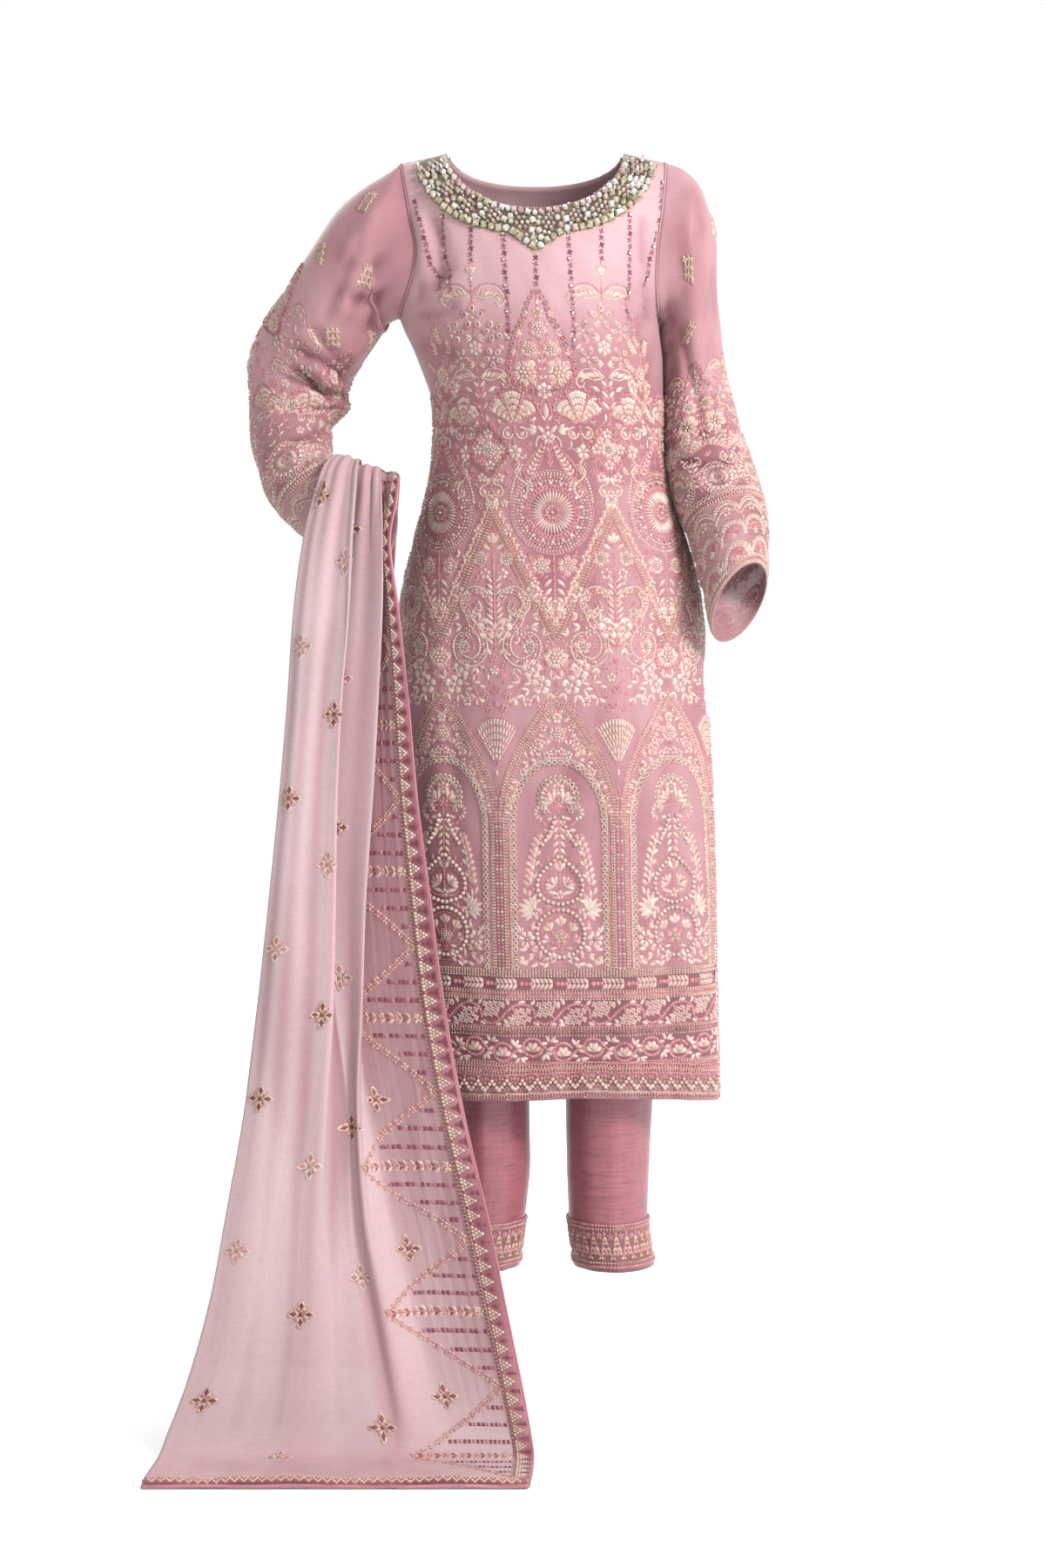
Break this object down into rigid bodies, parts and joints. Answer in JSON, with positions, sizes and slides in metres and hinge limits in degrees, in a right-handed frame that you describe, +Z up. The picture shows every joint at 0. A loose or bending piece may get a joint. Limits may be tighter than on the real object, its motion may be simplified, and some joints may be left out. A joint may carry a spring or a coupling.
{
  "type": "salwar kameez suit",
  "caption": "Pink embroidered organza kameez with slim raw silk trousers and a bordered dupatta laid over one forearm, in worn form.",
  "frame": {"origin": "on the shoulder line at the middle of the neck opening, where the wearer's shoulders hold the kameez up", "axes": "+Z up, -Y to the front of the garment, +X to the wearer's left"},
  "size_m": [0.691, 0.4094, 1.4649],
  "materials": {
    "kameez": "sheer organza over a paler lining, embroidered",
    "raw_silk": "slubbed raw silk",
    "chiffon": "soft sheer weave",
    "gold_work": "metallic thread work",
    "crystal": "cloth covered with beads and cut stones",
    "border": "woven burgundy and gold"
  },
  "bodies": {
    "root": {"kameez_front": "kameez", "kameez_back": "kameez", "front_hem_band": "gold_work", "back_hem_band": "gold_work", "neck_yoke": "crystal", "neck_binding": "border", "sleeve_right": "kameez", "sleeve_right_cuff": "gold_work", "sleeve_left": "kameez", "sleeve_left_cuff": "gold_work", "trouser_front_right": "raw_silk", "trouser_front_left": "raw_silk", "trouser_back_right": "raw_silk", "trouser_back_left": "raw_silk", "trouser_cuff_right": "gold_work", "trouser_cuff_left": "gold_work", "trouser_waistband": "raw_silk", "dupatta_back_fall": "chiffon", "dupatta_over_arm": "chiffon", "dupatta_front_fall": "chiffon", "dupatta_floor_end": "chiffon", "dupatta_border": "border", "dupatta_end_trim": "border"}
  },
  "joints": []
}
